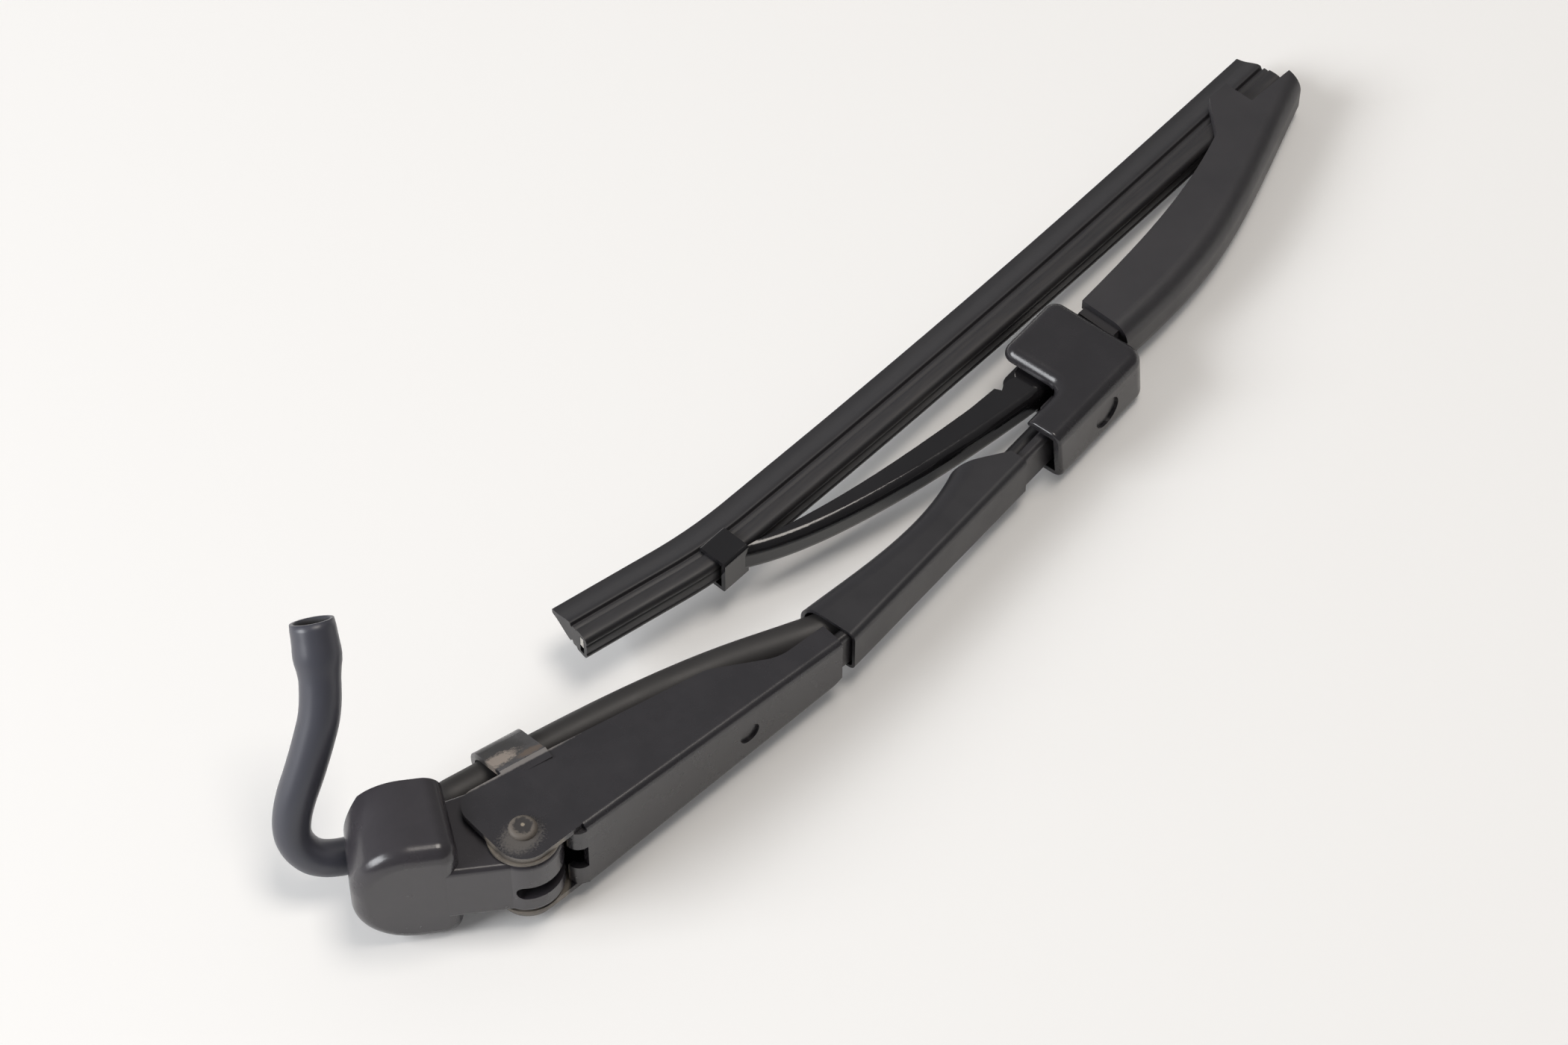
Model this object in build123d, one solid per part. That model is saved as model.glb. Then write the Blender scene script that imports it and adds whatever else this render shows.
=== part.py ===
from build123d import *
import os
from math import asin, atan2, cos, degrees, hypot, radians, sin, sqrt, tan

os.makedirs("parts", exist_ok=True)

# Wiper arm with the washer hose and the bow of its blade, as it lies with the arm folded.
# Millimetres and degrees. The origin is the mouth of the spindle bore, +Y is the spindle axis
# towards the glass, +X runs along the head to the hinge and +Z is the hinge pin's axis.

# Head casting
bore_radius = 3.0
bore_depth = 9.4
hub_wall = 2.2
head_wall = 2.1
bell_end = 8.9              # spindle axis to the round end, at the rim
bell_end_lean = 0.1         # the round end leans in by this at the front
bell_end_corner = 10.0
bell_side = 8.9             # spindle axis to the side with the tongue, at the front
bell_side_lean = 1.6        # that side leans in by this at the rim
bell_side_corner = 3.3
bell_half = 12.0
bell_rim = 3.5              # the rim stands beyond the mouth of the bore
bell_edge_round = 2.7
notch_run = 2.8             # slanting cut across the rim, where the hose comes out
notch_drop = 2.1
hinge_reach = 19.2          # spindle axis to hinge pin, along the head
knuckle_radius = 6.2
knuckle_proud = 0.6         # the knuckle stands out of the front face
tongue_half = 6.4
tongue_back = 4.5           # highest point of the tongue's back edge
tongue_back_fall = 2.1      # fall of that edge towards the bell
tongue_back_setback = 5.0   # hinge pin to the end of that edge
tongue_shoulder = 5.0       # hinge pin to the shoulder beside the knuckle, towards the glass
tongue_edge_round = 1.0

# Hinge
hinge_pin_radius = 2.0
running_clearance = 0.05
rivet_head_radius = 2.35
rivet_head_height = 0.8
rivet_head_round = 0.75
washer_radius = 6.0
washer_thickness = 0.6
washer_gap = 0.2
fold_angle = 34.5           # how far the arm is folded towards the glass

# Spring and its pin
spring_pin_radius = 1.3
spring_pin_back = 4.6       # spring pin to hinge pin, along the head
spring_pin_up = 3.4         # spring pin to hinge pin, towards the glass
spring_pin_bite = 2.4       # the pin's grip in each side of its slot
spring_wire = 1.3
spring_radius = 3.2
spring_height = -1.0        # height of the spring's axis
spring_coils = 17
spring_lead = 9.8           # hook centre to first coil
spring_wall = 0.8           # thickness of the tube that joins the coils
spring_end_bend = 1.4
spring_end_length = 3.2
hook_gap = 0.1
slot_width = 3.2
slot_core_wall = 1.3        # metal left round the hinge bore in the slot
slot_start = -95.0
slot_end = 135.0
slot_room = 0.45            # room round the hook

# Folded channel
sheet = 1.2
fold_round = 1.3
web_depth = 6.6             # hinge pin to the outer face of the web
channel_length = 62.7
cheek_back = 5.3
cheek_back_round = 3.6
cheek_front = 5.6
cheek_front_round = 4.9
cheek_rise = 10.9           # glass edge of the cheeks, beside the hinge pin
cheek_knee_rise = 4.0       # and at the knee where it starts to fall steeply
knee_run = 10.5             # length of the steep fall
knee_round = 9.0
foot_gap = 3.0              # foot of the fall to the crimp flaps
flap_length = 6.7
flap_inner = 1.0            # half gap between the two crimp flaps
flap_gap = 0.1
strip_side_gap = 0.4
web_dimple_radius = 2.0      # tooling mark in the web
web_dimple_depth = 0.5
web_dimple_at = 42.2
end_cut_length = 3.9        # corner cut from the end of the web
end_cut_width = 1.7
lip_radius = 2.4
lip_clearance = 0.48
lip_notch = 2.7             # half gap between the two rolled lips

# Support strip
strip_half = 4.1
strip_edge_round = 0.9
strip_thickness = 2.2
strip_start = 33.0
lug_rise = 4.9              # the upturned lug stands out of the strip
lug_bend = 2.4
lug_hole_radius = 1.4
strip_neck = 6.8            # end of the channel to the strip's crank
crank_angle = 8.5
crank_radius = 14.0

# Sleeve, feed tube and jet
sleeve_gap = 2.5
sleeve_length = 46.7
sleeve_wall = 0.6
sleeve_side_gap = 0.05
sleeve_mouth = 9.7
sleeve_waist = 6.6
sleeve_waist_at = 22.0      # from the near end of the strip's crank
sleeve_wing = 8.0
sleeve_wing_at = 33.5
sleeve_tail = 1.7
sleeve_round = 4.0
sleeve_back_round = 1.4
tube_radius = 1.6
tube_bore = 1.0
tube_gap = 0.1
tube_in_hose = 3.2          # length of the feed tube inside the hose
tube_lead = 8.0             # straight length of the tube before it falls to the strip
tube_fall = 8.0             # length over which it falls
tube_bend = 9.6
jet_half = 2.2
jet_length = 3.3
jet_wall = 0.2
jet_hole = 0.5
jet_hole_offset = 0.7       # spray hole beyond the middle of the jet
jet_feed_radius = 0.8
jet_feed_length = 2.0

# Washer hose
hose_radius = 3.1
hose_bore = 1.65
hose_offset = 5.6           # hose centre beyond the glass edge of the cheeks
hose_gap = 0.3
hose_room = 0.4
hose_end_radius = 3.6
hose_end_length = 5.5
hose_on_tube = 5.2          # last straight length of the hose, in the sleeve
hose_level_at = -2.0        # where that length starts, from the strip's crank
hose_start = 1.6            # hinge pin to the start of the arm's hose, along the arm
hose_lead = 4.4             # straight run of the hose before it passes to the arm
hose_exit_share = 0.87      # the hose goes on straight behind the bell by this share of its first run
hose_bend_share = 0.45      # share of the shorter run that a bend takes up
tab_start = 4.3
tab_length = 8.5
tab_room = 0.3
tab_overlap = 1.0           # the tab's plate runs into the cheek by this
tab_wrap = -25.0            # the tab's ring ends at this angle round the hose

# Cap
cap_gap = 5.9               # sleeve to cap
leg_length = 9.6
mouth_lean = 1.6            # the lower side of the leg's mouth is set back
mouth_round = 0.5
block_length = 16.7
end_lean = 1.6              # the upper side of the block's end is set back
block_rise = 6.8            # glass face of the block beyond the blade's pin
leg_rise = 3.3
cap_wall = 1.5
cap_cheek = 2.1
leg_gap = 1.4
slot_floor_wall = 1.45
strip_stop = 4.6            # strip's end to the end of the cap
socket_gap = 0.05
cap_round = 2.2
cap_corner = 3.0
cap_small_corner = 2.6
dimple_radius = 3.1
dimple_depth = 0.5
dimple_at = 4.4             # block's near face to the round dimple

# Blade: pin, bush and bow
blade_pin_radius = 1.5
blade_pin_at = 7.2          # block's near face to the pin
pin_bite = 1.4
bush_wall = 1.0
bush_proud = 1.1
bush_side_gap = 0.1
blade_angle = -3.7          # rest angle of the blade on the strip
bow_half = 3.0
bow_sheet = 0.9
bow_round = 1.8
bow_back = 4.2              # pin to the back of the bow
rock_room = 2.5
bow_length = 67.0           # pin to the claw
bow_inner_length = 35.0     # pin to the bow's end inside the cover
claw_length = 4.8
claw_gap = 0.15
claw_round = 0.7

# Blade: cover on the far half of the bow
cover_half = 5.2
cover_start = 10.7
cover_back = 7.2
cover_round = 3.4
cover_gap = 0.1
collar_half = 3.9
collar_length = 1.7
collar_wall = 0.3            # the collar's back stands off the bow by this
collar_step = 0.7            # the collar's glass edge is lower than the cover's
finger_start = 57.5
finger_length = 9.2
finger_drop = 16.9
cover_tip = 77.0

# Blade: rubber and its steel strip
rubber_middle = 3.7         # lowest point of the rubber's back, from the pin
rubber_back = 10.4
rubber_bow_radius = 2050.0
rubber_far_end = 73.0
rubber_bend_gap = 0.2       # claw to the bend of the rubber's tail
rubber_bend_radius = 60.0
rubber_bend_angle = 11.0
rubber_tail = 14.2
rubber_half = 2.7
rubber_height = 10.2
rubber_bevel = 0.8          # width of the bevel at the back
rubber_bevel_drop = 0.6
rubber_head = 2.6
groove_depth = 0.45
groove_width = 0.35
shoulder_step = 0.1         # the shoulder is narrower than the head
rubber_shoulder = 4.0
rubber_neck = 5.0
rubber_neck_half = 0.9
wedge_step = 0.4            # the wedge is narrower than the head by this on each side
lip_tip_half = 0.4
flexor_width = 2.2
flexor_thickness = 0.9
flexor_slot_half = 2.0
flexor_cover = 0.9          # rubber over the steel strip
flexor_gap = 0.1
flexor_height = 0.8

# Making
cut_past = 1.0              # a cut runs past the face that it opens by this

# Places that follow from the sizes
front_y = -(bore_depth + head_wall)
hinge_y = front_y + knuckle_radius - knuckle_proud
cheek_inner = tongue_half + washer_gap + washer_thickness
channel_half = cheek_inner + sheet
channel_end_half = strip_half + strip_side_gap + sheet
web_inner = -(web_depth - sheet)
flap_start = channel_length - flap_length
cheek_foot = flap_start - foot_gap
cheek_knee = cheek_foot - knee_run
lip_y = lip_radius - web_depth
lip_x = lip_radius + sqrt((knuckle_radius + lip_clearance) ** 2 - lip_y**2)
edge_fall = (cheek_rise - cheek_knee_rise) / cheek_knee
edge_angle = degrees(atan2(cheek_rise - cheek_knee_rise, cheek_knee))
strip_y = web_inner + strip_thickness / 2
strip_top = strip_y + strip_thickness / 2
crank_x = channel_length + strip_neck
sleeve_start = sleeve_gap - strip_neck
sleeve_end = sleeve_start + sleeve_length
sleeve_half = strip_half + sleeve_side_gap + sleeve_wall
leg_start = sleeve_end + cap_gap
block_start = leg_start + leg_length
block_end = block_start + block_length
strip_end = block_end - strip_stop
slot_floor = strip_thickness / 2 + socket_gap + slot_floor_wall
blade_pin_x = block_start + blade_pin_at
blade_pin_y = slot_floor + rock_room + bow_back
bush_half = bow_half + bush_proud
fork_half = bush_half + bush_side_gap
cap_half = fork_half + cap_cheek
cap_back = -(strip_thickness / 2 + leg_gap + cap_wall)
cap_glass = blade_pin_y + block_rise
tube_low_y = strip_thickness / 2 + tube_gap + tube_radius
hose_low_y = strip_thickness / 2 + tube_gap + hose_radius
slot_core_radius = hinge_pin_radius + slot_core_wall
hook_radius = spring_pin_radius + spring_wire / 2 + hook_gap

# Local frames: the arm turns on the hinge, the strip is cranked, the blade rocks on its pin
arm_frame = Location((hinge_reach, hinge_y, 0), (0, 0, fold_angle))
reach_frame = arm_frame * Location((crank_x, strip_y, 0), (0, 0, crank_angle))
blade_frame = reach_frame * Location((blade_pin_x, blade_pin_y, 0), (0, 0, blade_angle))


def prism(outline, low, high):
    """A plan outline raised from one height to another."""
    return extrude(Pos(0, 0, low) * outline, amount=high - low, dir=(0, 0, 1))


def polygon(*points):
    """A flat face with straight sides."""
    return make_face(Polyline(*points, close=True))


def block(x_low, x_high, y_low, y_high, z_low, z_high):
    """A box between six planes."""
    centre = Pos((x_low + x_high) / 2, (y_low + y_high) / 2, (z_low + z_high) / 2)
    return centre * Box(x_high - x_low, y_high - y_low, z_high - z_low)


def rod(radius, low, high, x=0.0, y=0.0):
    """A round bar along Z."""
    return prism(Pos(x, y) * Circle(radius), low, high)


def point_in(frame, x, y, z=0.0):
    """A point of a local frame, in the frame that holds it."""
    return (frame * Pos(x, y, z)).position


def route(points):
    """Straight runs joined by arcs, each arc as large as its two runs allow."""
    spots = [Vector(*p) if isinstance(p, tuple) else p for p in points]
    radii = []
    for before, corner, after in zip(spots, spots[1:], spots[2:]):
        shorter = min((corner - before).length, (after - corner).length)
        turn = (corner - before).get_angle(after - corner)
        radii.append(hose_bend_share * shorter / tan(radians(turn / 2)))
    print("hose radii", [round(r, 1) for r in radii])
    return FilletPolyline(*spots, radius=radii)


def tube(path, radius, bore):
    """A round tube along a path; a bore of zero gives a solid bar."""
    section = Circle(radius)
    if bore > 0:
        section = section - Circle(bore)
    return sweep(Plane(origin=path @ 0, z_dir=path % 0) * section, path=path)


# Hose routes. The head's points are chosen by hand, the arm's follow the cheeks and the sleeve.
hose_exit = (-6.7, 2.8, -6.0)
hose_turn = (-12.7, 1.1, -5.4)
free_points = [
    hose_exit,
    hose_turn,
    (-17.2, 2.7, -1.0),
    (-16.7, 5.3, 4.6),
    (-13.4, 9.2, 12.4),
    (-9.9, 15.2, 21.8),
    (-9.4, 22.6, 30.5),
]
hose_start_y = cheek_rise + hose_offset - edge_fall * hose_start
head_hose_end = point_in(
    arm_frame,
    hose_start - hose_gap * cos(radians(edge_angle)),
    hose_start_y + hose_gap * sin(radians(edge_angle)),
)
head_hose_turn = head_hose_end - hose_lead * Vector(1, 0, 0).rotate(Axis.Z, fold_angle - edge_angle)
first_run = Vector(*hose_exit) - Vector(*hose_turn)
head_hose_rise = Vector(*hose_exit) + hose_exit_share * first_run
head_points = [hose_exit, head_hose_rise, (3.4, 5.9, -7.0), head_hose_turn, head_hose_end]
crank_frame = Location((crank_x, strip_y, 0), (0, 0, crank_angle))
past_tab = 18.0
arm_points = [
    (hose_start, hose_start_y, 0),
    (past_tab, cheek_rise + hose_offset - edge_fall * past_tab, 0),
    (33.0, 10.6, 0),
    (47.0, 6.9, 0),
    (59.4, 2.3, 0),
    point_in(crank_frame, hose_level_at, hose_low_y),
    point_in(crank_frame, hose_level_at + hose_on_tube, hose_low_y),
]
free_path = route(free_points)
head_path = route(head_points)
arm_path = route(arm_points)


def bell_outline(inset, end, side):
    """Front view of the bell, a round end and a flat side, drawn in by an inset."""
    width = end + side - 2 * inset
    outline = Pos((side - end) / 2, 0) * Rectangle(width, 2 * (bell_half - inset))
    outline = fillet(outline.vertices().group_by(Axis.X)[0], bell_end_corner - inset)
    return fillet(outline.vertices().group_by(Axis.X)[-1], bell_side_corner - inset / 2)


def bell_block(inset):
    """The bell's leaning walls from the front face to the rim."""
    front = Plane.XZ.offset(-front_y) * bell_outline(inset, bell_end - bell_end_lean, bell_side)
    rim = Plane.XZ.offset(-bell_rim) * bell_outline(inset, bell_end, bell_side - bell_side_lean)
    return loft([front.face(), rim.face()], ruled=True)


def bell_body():
    """The bell before it is hollowed, with its round front edge."""
    solid = bell_block(0)
    front_edges = solid.edges().filter_by(lambda e: abs(e.center().Y - front_y) < 0.01)
    return fillet(front_edges, bell_edge_round)


def hose_notch():
    """Slanting cut across the rim at the round end, where the hose comes out."""
    left = -bell_end - cut_past
    return prism(
        polygon(
            (notch_run - bell_end, bell_rim),
            (notch_run - bell_end, bell_rim + cut_past),
            (left, bell_rim + cut_past),
            (left, bell_rim - notch_drop * (1 + cut_past / notch_run)),
        ),
        -2 * bell_half,
        2 * bell_half,
    )


def spindle_rod(radius):
    """A round bar on the spindle's axis, as deep as the bore."""
    return Pos(0, -bore_depth / 2, 0) * Rot(90, 0, 0) * Cylinder(radius, bore_depth)


def bell_room():
    """Space inside the bell, round the hub of the spindle bore."""
    wide = 2 * bell_half
    room = bell_block(head_wall) & block(-wide, wide, -bore_depth, wide, -wide, wide)
    return room - spindle_rod(bore_radius + hub_wall)


def tongue():
    """Tongue and knuckle that carry the hinge, with the spring's slot."""
    root = bell_side - bell_side_lean - head_wall / 2
    front = polygon(
        (root, front_y),
        (hinge_reach, front_y),
        (hinge_reach, hinge_y),
        (hinge_reach - tongue_back_setback / 2, hinge_y + tongue_shoulder),
        (hinge_reach - tongue_back_setback, tongue_back),
        (root, tongue_back - tongue_back_fall),
    )
    outline = front + Pos(hinge_reach, hinge_y) * Circle(knuckle_radius)
    solid = prism(outline, -tongue_half, tongue_half)
    rims = solid.edges().filter_by(lambda e: abs(abs(e.center().Z) - tongue_half) < 0.01)
    rims = rims.filter_by(lambda e: e.center().X > root + 0.01)
    return fillet(rims, tongue_edge_round)


def spring_slot():
    """Room for the spring's hook, round the knuckle from the front to the spring pin."""
    reach = 3 * knuckle_radius
    span = slot_end - slot_start
    steps = [slot_start + span * i / 4 for i in range(5)]
    fan = polygon((0, 0), *[(reach * cos(radians(a)), reach * sin(radians(a))) for a in steps])
    fan = fan & Circle(1.4 * knuckle_radius)
    pocket = Pos(-spring_pin_back, spring_pin_up) * Circle(hook_radius + spring_wire / 2 + slot_room)
    outline = fan - Circle(slot_core_radius) + pocket
    low = spring_height - slot_width / 2
    depth = 1.4 * knuckle_radius - slot_core_radius
    end = Rot(0, 90, 0) * Cylinder(slot_width / 2, depth)
    end = Rot(0, 0, slot_start) * Pos(slot_core_radius + depth / 2, 0, spring_height) * end
    slot = prism(outline, low, low + slot_width) + end
    return Pos(hinge_reach, hinge_y, 0) * slot


def pivot_head():
    """One casting: bell, tongue and knuckle."""
    solid = bell_body() - hose_notch() + tongue() - bell_room() - spindle_rod(bore_radius)
    solid = solid - rod(
        hinge_pin_radius + running_clearance, -2 * tongue_half, 2 * tongue_half, hinge_reach, hinge_y
    )
    solid = solid - spring_slot() - spring_pin()
    solid = solid - tube(free_path, hose_radius + hose_room, 0)
    return solid - tube(head_path, hose_radius + hose_room, 0)


def spring_pin():
    """Pin across the knuckle's slot that the spring is hooked on."""
    reach = slot_width / 2 + spring_pin_bite
    return rod(
        spring_pin_radius,
        spring_height - reach,
        spring_height + reach,
        hinge_reach - spring_pin_back,
        hinge_y + spring_pin_up,
    )


def hinge_rivet():
    """Riveted hinge pin with a domed head on each cheek."""
    shank = rod(hinge_pin_radius, -channel_half, channel_half)
    head = rod(rivet_head_radius, channel_half, channel_half + rivet_head_height)
    rim = head.edges().group_by(Axis.Z)[-1]
    head = fillet(rim, rivet_head_round)
    return arm_frame * (shank + head + mirror(head, about=Plane.XY))


def hinge_washers():
    """Two washers between the knuckle and the cheeks."""
    ring = Circle(washer_radius) - Circle(hinge_pin_radius + running_clearance)
    upper = prism(ring, cheek_inner - washer_thickness, cheek_inner)
    return arm_frame * (upper + mirror(upper, about=Plane.XY))


def channel_taper(inset):
    """The channel's tapering part, from the web's start to its end, drawn in by an inset."""
    near = channel_half - inset
    far = channel_end_half - inset
    outline = polygon((lip_x, near), (channel_length, far), (channel_length, -far), (lip_x, -near))
    return extrude(Plane.XZ.offset(web_depth - inset) * outline, amount=4 * cheek_rise, dir=(0, 1, 0))


def hinge_cheeks():
    """The two parallel cheeks beside the knuckle."""
    plan = channel_plan() & (Pos(lip_x - 2 * cheek_rise, 0) * Rectangle(4 * cheek_rise, 4 * cheek_rise))
    upper = prism(plan, cheek_inner, channel_half)
    return upper + mirror(upper, about=Plane.XY)


def channel_plan():
    """Side view of the cheeks, from the hinge to the crimped end."""
    flap_top = strip_top + flap_gap + sheet
    left = -cheek_back
    outline = polygon(
        (left, cheek_rise - edge_fall * left),
        (cheek_knee, cheek_knee_rise),
        (cheek_foot, flap_top),
        (channel_length, flap_top),
        (channel_length, -web_depth),
        (lip_x, -web_depth),
        (lip_x, -cheek_front),
        (left, -cheek_front),
    )
    bends = outline.vertices().filter_by(lambda v: cheek_knee - 0.01 < v.X < cheek_foot + 0.01)
    outline = fillet(bends, knee_round)
    corners = outline.vertices().filter_by(lambda v: v.X < left + 0.01)
    outline = fillet(corners.sort_by(Axis.Y)[0], cheek_front_round)
    corners = outline.vertices().filter_by(lambda v: v.X < left + 0.01)
    return fillet(corners.sort_by(Axis.Y)[-1], cheek_back_round)


def rolled_lips():
    """The web's end, rolled towards the knuckle, with a gap for the spring."""
    ring = Circle(lip_radius) - Circle(lip_radius - sheet)
    quarter = ring & (Pos(-lip_radius, -lip_radius) * Rectangle(2 * lip_radius, 2 * lip_radius))
    upper = prism(Pos(lip_x, lip_y) * quarter, lip_notch, cheek_inner)
    return upper + mirror(upper, about=Plane.XY)


def crimp_flaps():
    """Two flaps folded over the strip at the channel's end."""
    low = strip_top + flap_gap
    upper = block(flap_start, channel_length, low, low + sheet, flap_inner, channel_end_half)
    return upper + mirror(upper, about=Plane.XY)


def hose_tab():
    """Tab on the upper cheek that runs down to the hose and holds it."""
    ring_middle = hose_radius + tab_room + sheet / 2
    root_z = cheek_inner + sheet / 2
    distance = hypot(hose_offset, root_z)
    lean = degrees(asin(ring_middle / distance) - atan2(root_z, hose_offset))
    length = sqrt(distance**2 - ring_middle**2)
    plate = Pos(0, root_z) * Rot(0, 0, lean) * Pos(length / 2, 0) * Rectangle(length, sheet)
    root = Pos(-sheet / 2, root_z) * Rectangle(sheet + tab_overlap, sheet)
    ring = Circle(ring_middle + sheet / 2) - Circle(ring_middle - sheet / 2)
    reach = 3 * ring_middle
    angles = [tab_wrap + (90 + lean - tab_wrap) * i / 3 for i in range(4)]
    fan = polygon((0, 0), *[(reach * cos(radians(a)), reach * sin(radians(a))) for a in angles])
    outline = plate + root + Pos(hose_offset, 0) * (ring & fan)
    tab = extrude(Plane.YZ * outline, amount=tab_length, dir=(1, 0, 0))
    along_edge = Location((0, cheek_rise, 0), (0, 0, -edge_angle))
    return along_edge * Pos(tab_start, 0, 0) * tab


def arm_channel():
    """Folded sheet channel from the hinge to the crimp on the strip."""
    body = channel_taper(0)
    folds = body.edges().filter_by(lambda e: abs(e.center().Y + web_depth) < 0.01)
    body = fillet(folds.filter_by(lambda e: abs(e.center().Z) > sheet), fold_round)
    body = body & prism(channel_plan(), -2 * channel_half, 2 * channel_half)
    body = body - channel_taper(sheet)
    corner = polygon(
        (channel_length - end_cut_length, -channel_end_half - sheet),
        (channel_length - end_cut_length, -channel_end_half),
        (channel_length, end_cut_width - channel_end_half),
        (channel_length + sheet, end_cut_width - channel_end_half),
        (channel_length + sheet, -channel_end_half - sheet),
    )
    flaps = crimp_flaps() & channel_taper(0)
    solid = body + hinge_cheeks() + rolled_lips() + flaps + hose_tab()
    solid = solid - extrude(Plane.XZ * corner, amount=2 * cheek_rise, both=True)
    dimple = Rot(90, 0, 0) * Cylinder(web_dimple_radius, 2 * web_dimple_depth)
    solid = solid - Pos(web_dimple_at, -web_depth, 0) * dimple
    return arm_frame * (solid - rod(hinge_pin_radius, -2 * channel_half, 2 * channel_half))


def spring_line():
    """Local frame of the spring: its hook's centre, turned along its axis, in the arm's frame."""
    turn = radians(-fold_angle)
    hook_x = -spring_pin_back * cos(turn) - spring_pin_up * sin(turn)
    hook_y = -spring_pin_back * sin(turn) + spring_pin_up * cos(turn)
    lug_x = strip_start + strip_thickness / 2
    hole_y = strip_top + lug_rise / 2
    across = hypot(lug_x - hook_x, hole_y - hook_y)
    lean = degrees(atan2(hole_y - hook_y, lug_x - hook_x) + asin(hook_radius / across))
    length = sqrt(across**2 - hook_radius**2)
    return Location((hook_x, hook_y, spring_height), (0, 0, lean)), length


def tension_spring():
    """Close-wound spring with a hook on the spring pin and a bent end in the strip's lug."""
    frame, length = spring_line()
    wire = spring_wire / 2
    coil_length = spring_coils * spring_wire
    middle = spring_radius - wire
    places = [spring_lead + spring_wire * (i + 0.5) for i in range(spring_coils)]
    rings = [Pos(x, middle) * Circle(wire) for x in places]
    wall = Pos(spring_lead + coil_length / 2, middle)
    wall = wall * Rectangle(coil_length - spring_wire, spring_wall)
    coil = revolve(wall + rings, axis=Axis.X)
    hook = CenterArc((0, 0), hook_radius, 90, 170)
    leg = Line((spring_lead + spring_wire, hook_radius), (0, hook_radius))
    near = tube(Wire([leg, hook]), wire, 0)
    tail = FilletPolyline(
        (spring_lead + coil_length - spring_wire, -hook_radius, 0),
        (length + 2 * strip_thickness, -hook_radius, 0),
        (length + 2 * strip_thickness, spring_end_length - hook_radius, 0),
        radius=spring_end_bend,
    )
    return arm_frame * frame * (coil + near + tube(tail, wire, 0))


def support_strip():
    """Flat strip with an upturned lug for the spring and a crank towards the glass."""
    lug_x = strip_start + strip_thickness / 2
    far = point_in(crank_frame, strip_end, 0)
    path = FilletPolyline(
        (lug_x, strip_top + lug_rise),
        (lug_x, strip_y),
        (crank_x, strip_y),
        (far.X, far.Y),
        radius=[lug_bend, crank_radius],
    )
    strip = prism(trace(path, line_width=strip_thickness), -strip_half, strip_half)
    rims = strip.edges().filter_by(lambda e: abs(abs(e.center().Z) - strip_half) < 0.01)
    strip = fillet(rims.filter_by(lambda e: e.length > 1.1 * strip_thickness), strip_edge_round)
    hole = Rot(0, 90, 0) * Cylinder(lug_hole_radius, 4 * strip_thickness)
    return arm_frame * (strip - Pos(lug_x, strip_top + lug_rise / 2, spring_height) * hole)


def sleeve_block(inset, past):
    """The sleeve's outer shape, drawn in by an inset and lengthened past both ends."""
    back = -(strip_thickness / 2 + sleeve_wall) + inset
    glass = Spline(
        (sleeve_start - past, sleeve_mouth - inset),
        ((sleeve_waist_at + sleeve_start) / 2, (sleeve_mouth + 2 * sleeve_waist) / 3 - inset),
        (sleeve_waist_at, sleeve_waist - inset),
        (sleeve_wing_at, sleeve_wing - inset),
    )
    rest = Polyline(
        (sleeve_wing_at, sleeve_wing - inset),
        (sleeve_end + past, sleeve_tail - inset + past * sleeve_tail),
        (sleeve_end + past, back),
        (sleeve_start - past, back),
        (sleeve_start - past, sleeve_mouth - inset),
    )
    solid = prism(make_face([glass] + list(rest.edges())), inset - sleeve_half, sleeve_half - inset)
    rims = solid.edges().filter_by(lambda e: abs(abs(e.center().Z) - sleeve_half + inset) < 0.01)
    rims = rims.filter_by(lambda e: e.center().Y > sleeve_waist / 2 and e.length > sleeve_mouth)
    solid = fillet(rims.sort_by(Axis.Y)[-2:], sleeve_round - inset)
    corners = solid.edges().filter_by(lambda e: abs(e.center().Y - back) < 0.01)
    return fillet(corners.filter_by(Axis.X), sleeve_back_round - inset)


def strip_sleeve():
    """Soft sleeve round the strip, the hose's end and the feed tube, open at both ends."""
    return reach_frame * (sleeve_block(0, 0) - sleeve_block(sleeve_wall, cut_past))


def feed_tube():
    """Thin tube from the hose, along the strip, to the jet."""
    start = hose_level_at + hose_on_tube - tube_in_hose
    path = FilletPolyline(
        (start, hose_low_y, 0),
        (start + tube_lead, hose_low_y, 0),
        (start + tube_lead + tube_fall, tube_low_y, 0),
        (block_start - jet_length / 2, tube_low_y, 0),
        radius=tube_bend,
    )
    return reach_frame * tube(path, tube_radius, tube_bore)


def jet_nozzle():
    """Small jet on the end of the feed tube that sprays towards the glass."""
    low = tube_low_y - tube_radius - tube_gap / 3
    high = tube_low_y + tube_radius + jet_wall
    body = block(block_start - jet_length, block_start, low, high, -jet_half, jet_half)
    middle = block_start - jet_length / 2
    socket = Pos(middle - jet_length, tube_low_y, 0) * Rot(0, 90, 0)
    body = body - socket * Cylinder(tube_radius, 2 * jet_length)
    way = Pos(middle + jet_hole_offset, tube_low_y + 2 * tube_radius, 0) * Rot(90, 0, 0)
    spray = way * Cylinder(jet_hole, 4 * tube_radius)
    feed = Pos(middle, tube_low_y, 0) * Rot(0, 90, 0) * Cylinder(jet_feed_radius, jet_feed_length)
    return reach_frame * (body - spray - feed)


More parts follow.
